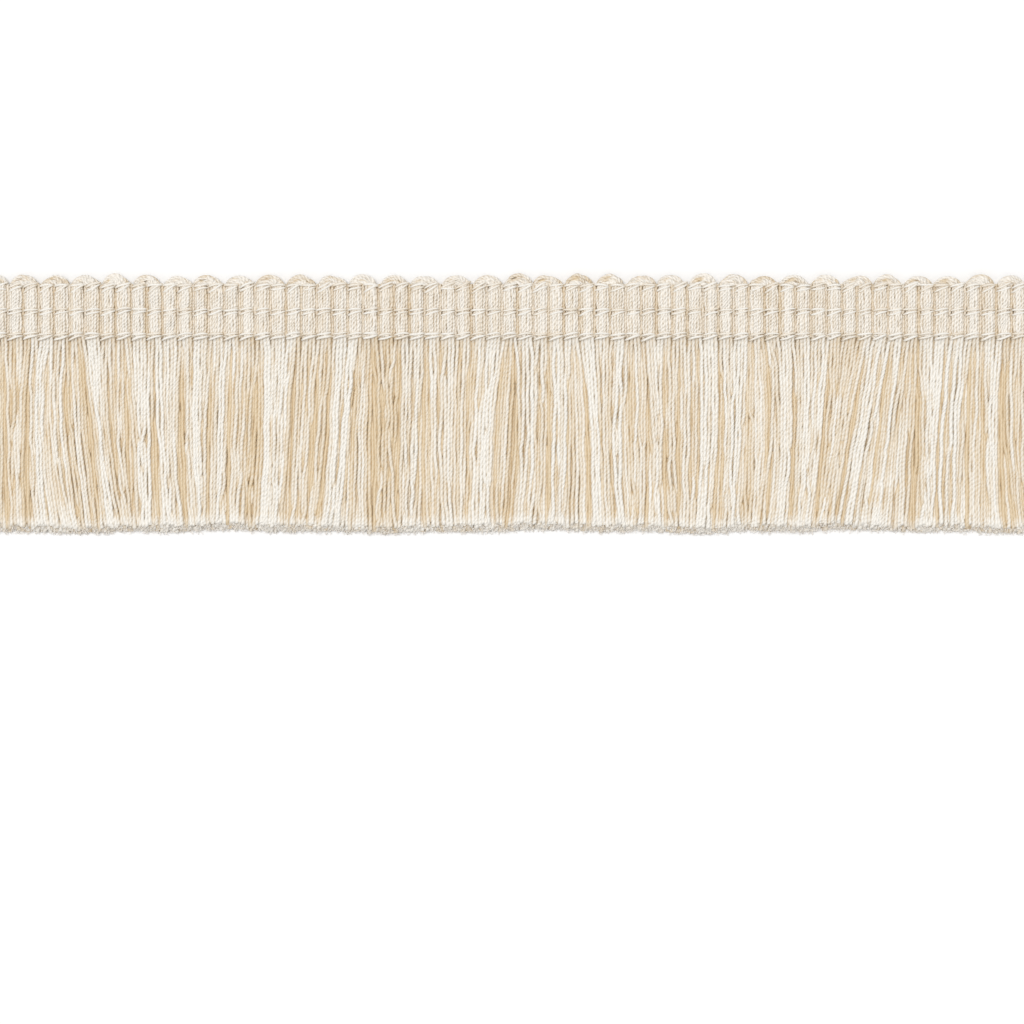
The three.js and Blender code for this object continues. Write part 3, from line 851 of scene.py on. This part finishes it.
def chain_row(row_y, steps, untidy):
    """A row of chain stitches: on each rib an upper and a lower strand of thread, which come
    together towards the right. The upper runs level, the lower climbs, each a little
    more or less in an untidy row, and z falls at both ends, into the furrows, with the
    fourth power of the way along."""
    count = 2 * RIB_COUNT
    lower = np.tile([0.0, 1.0], RIB_COUNT)[:, None]
    along = np.linspace(-1, 1, steps)[None]
    centre = (np.arange(RIB_COUNT) + 0.48) * PITCH - END + rng.normal(0, 0.03, RIB_COUNT)
    lift = rng.normal(0, 0.03, RIB_COUNT)
    centre, lift = (np.repeat(each, 2)[:, None] for each in (centre, lift))
    half = (STITCH_HALF - 0.02 * lower) * rng.uniform(0.93, 1.05, (count, 1))
    half = np.minimum(half, END - np.abs(centre) - 0.05)
    tilt = untidy * rng.normal(0.6, 0.6, (count, 1))
    climb = (0.05 + 0.12 * lower + tilt) * along + (0.05 * lower - 0.05) * along ** 2
    wobble = 0.03 * np.sin(2.6 * along + 2 * np.pi * rng.random((count, 1)))
    x = centre + half * along
    y = row_y + lift + 0.17 - STRAND_GAP * lower + climb + wobble
    z = STITCH_Z - STITCH_FALL * along ** 4 + wobble
    radii = CHAIN_THREAD * rng.uniform(*CHAIN_THREAD_SPREAD, (count, 1)) * (1 - 0.2 * along ** 4)
    # Painted shade: deeper towards each strand's ends, where they dip into the furrows, and a little on the
    # upper strand
    shade = 0.5 * along ** 4 + 0.12 * (1 - lower) - 0.15
    return yarns(x, y, z, radii, shade, rng.uniform(-1, 1, (count, 1)))


# The pieces

# The cotton's own colours, and the tan that painted shade turns them to. WARM, for the cut-end fibres, is
# paler than CREAM: painted light on the cut ends
CREAM = (0.888, 0.853, 0.785)
HEADING_CREAM = (0.92, 0.868, 0.785)
SHADE_TAN = (0.7, 0.555, 0.36)
THREAD = (0.9, 0.87, 0.81)
WARM = (0.99, 0.935, 0.865)

# The height of each material's bump in millimetres, and how much painted shade deepens its sides
fringe_cotton = cotton_material("fringe_cotton", CREAM, SKIRT_LAY, relief=0.052, round_shade=0.42)
heading_cotton = cotton_material("heading_cotton", HEADING_CREAM, HEADING_LAY, relief=0.07, round_shade=0.42)
chain_cotton = cotton_material("chain_cotton", THREAD, CHAIN_LAY, relief=0.02, round_shade=0.6)
loose_cotton = cotton_material("loose_cotton", WARM, LOOSE_LAY, relief=0.002, round_shade=0.0)

# Each layer of the skirt, with the sides of its tubes and which of their steps are kept
skirt_parts = skirt()
for layer_name, sides, stride in (("front", 6, 1), ("middle", 6, 2), ("lower", 5, 3), ("back", 5, 3)):
    paths, radii, values = every_step(skirt_parts[layer_name], stride)
    piece = tubes("fringe_" + layer_name, paths, radii, sides, **values)
    dress(piece, fringe_cotton, "fringe_yarn", "fringe_skirt")
every_end = [np.concatenate([part[place] for part in skirt_parts.values()]) for place in (0, 1)]
paths, radii, values = tip_fibres(*every_end)
dress(tubes("cut_end_fibres", paths, radii, 3, **values), loose_cotton, "fringe_yarn", "fringe_skirt")

for piece_name, (paths, radii, values), sides in (
    ("heading_ribs", rib_yarns(FACE_SLOTS, 0.0, RIB_YARN, 26), 6),
    ("heading_core", rib_yarns(CORE_SLOTS, CORE_SINK, CORE_YARN, 22), 5),
    ("heading_backing", backing_yarns(11), 5),
    ("picot_loops", picot_yarns(24), 6),
):
    piece = tubes(piece_name, paths, radii, sides, **values)
    dress(piece, heading_cotton, "ribbed_heading", "heading_band")

# The upper row of stitches is the untidiest
for node, row_y, untidy in zip(CHAIN_NODES, CHAIN_ROWS, (0.2, 0.05, 0.05)):
    paths, radii, values = chain_row(row_y, 20, untidy)
    piece = tubes(node + "_stitches", paths, radii, 8, **values)
    dress(piece, chain_cotton, "chain_thread", node)


# Floor, light and camera. The table, the lamp's place and its size are in metres

TABLE_HALF = 1.0
TABLE_COLOUR = (0.96, 0.965, 0.97, 1)
TABLE_ROUGHNESS = 0.9
KEY_PLACE = (-0.42, 0.38, 2.15)
KEY_SIZE = 0.9
KEY_WATTS = 22.5
ROOM_COLOUR = (1.0, 0.99, 0.98, 1)
ROOM_STRENGTH = 0.68


def floor():
    """A plain pale table top, a flat square under the trim."""
    corners = [(x * TABLE_HALF, y * TABLE_HALF, 0) for x, y in ((-1, -1), (1, -1), (1, 1), (-1, 1))]
    mesh = bpy.data.meshes.new("table_top")
    mesh.from_pydata(corners, [], [(0, 1, 2, 3)])
    material = bpy.data.materials.new("pale_table")
    material.use_nodes = True
    shader = material.node_tree.nodes["Principled BSDF"]
    shader.inputs["Base Color"].default_value = TABLE_COLOUR
    shader.inputs["Roughness"].default_value = TABLE_ROUGHNESS
    mesh.materials.append(material)
    table = bpy.data.objects.new("table_top", mesh)
    bpy.context.scene.collection.objects.link(table)


def soft_light(name, place, size, power):
    """A square area light that faces the trim from its place, in metres: it is tipped by
    the angle between straight down and the way to the trim, and turned to that side."""
    light = bpy.data.lights.new(name, "AREA")
    light.size = size
    light.energy = power
    lamp = bpy.data.objects.new(name, light)
    lamp.location = place
    aim = -np.array(place)
    tip = np.arccos(-aim[2] / np.linalg.norm(aim))
    lamp.rotation_euler = (tip, 0, np.arctan2(aim[1], aim[0]) - np.pi / 2)
    bpy.context.scene.collection.objects.link(lamp)


def studio():
    """Soft light from the upper left, and a pale surround."""
    soft_light("key_light", KEY_PLACE, KEY_SIZE, KEY_WATTS)
    world = bpy.data.worlds.new("studio")
    world.use_nodes = True
    background = world.node_tree.nodes["Background"]
    background.inputs["Color"].default_value = ROOM_COLOUR
    background.inputs["Strength"].default_value = ROOM_STRENGTH
    bpy.context.scene.world = world
    bpy.context.scene.view_settings.view_transform = "Standard"


def camera():
    """A long lens straight above, at the height where the frame is as wide as the
    photograph's, with the picots towards the top: its height is width times lens over
    sensor."""
    width = PIXELS_ACROSS / PIXELS_PER_MM * MM
    lens = bpy.data.cameras.new("camera")
    lens.lens = LENS
    lens.sensor_width = SENSOR
    lens.clip_start = 0.01
    eye = bpy.data.objects.new("camera", lens)
    eye.location = (VIEW_CENTRE[0] * MM, VIEW_CENTRE[1] * MM, width * LENS / SENSOR + EYE_LEVEL * MM)
    bpy.context.scene.collection.objects.link(eye)
    bpy.context.scene.camera = eye


floor()
studio()
camera()
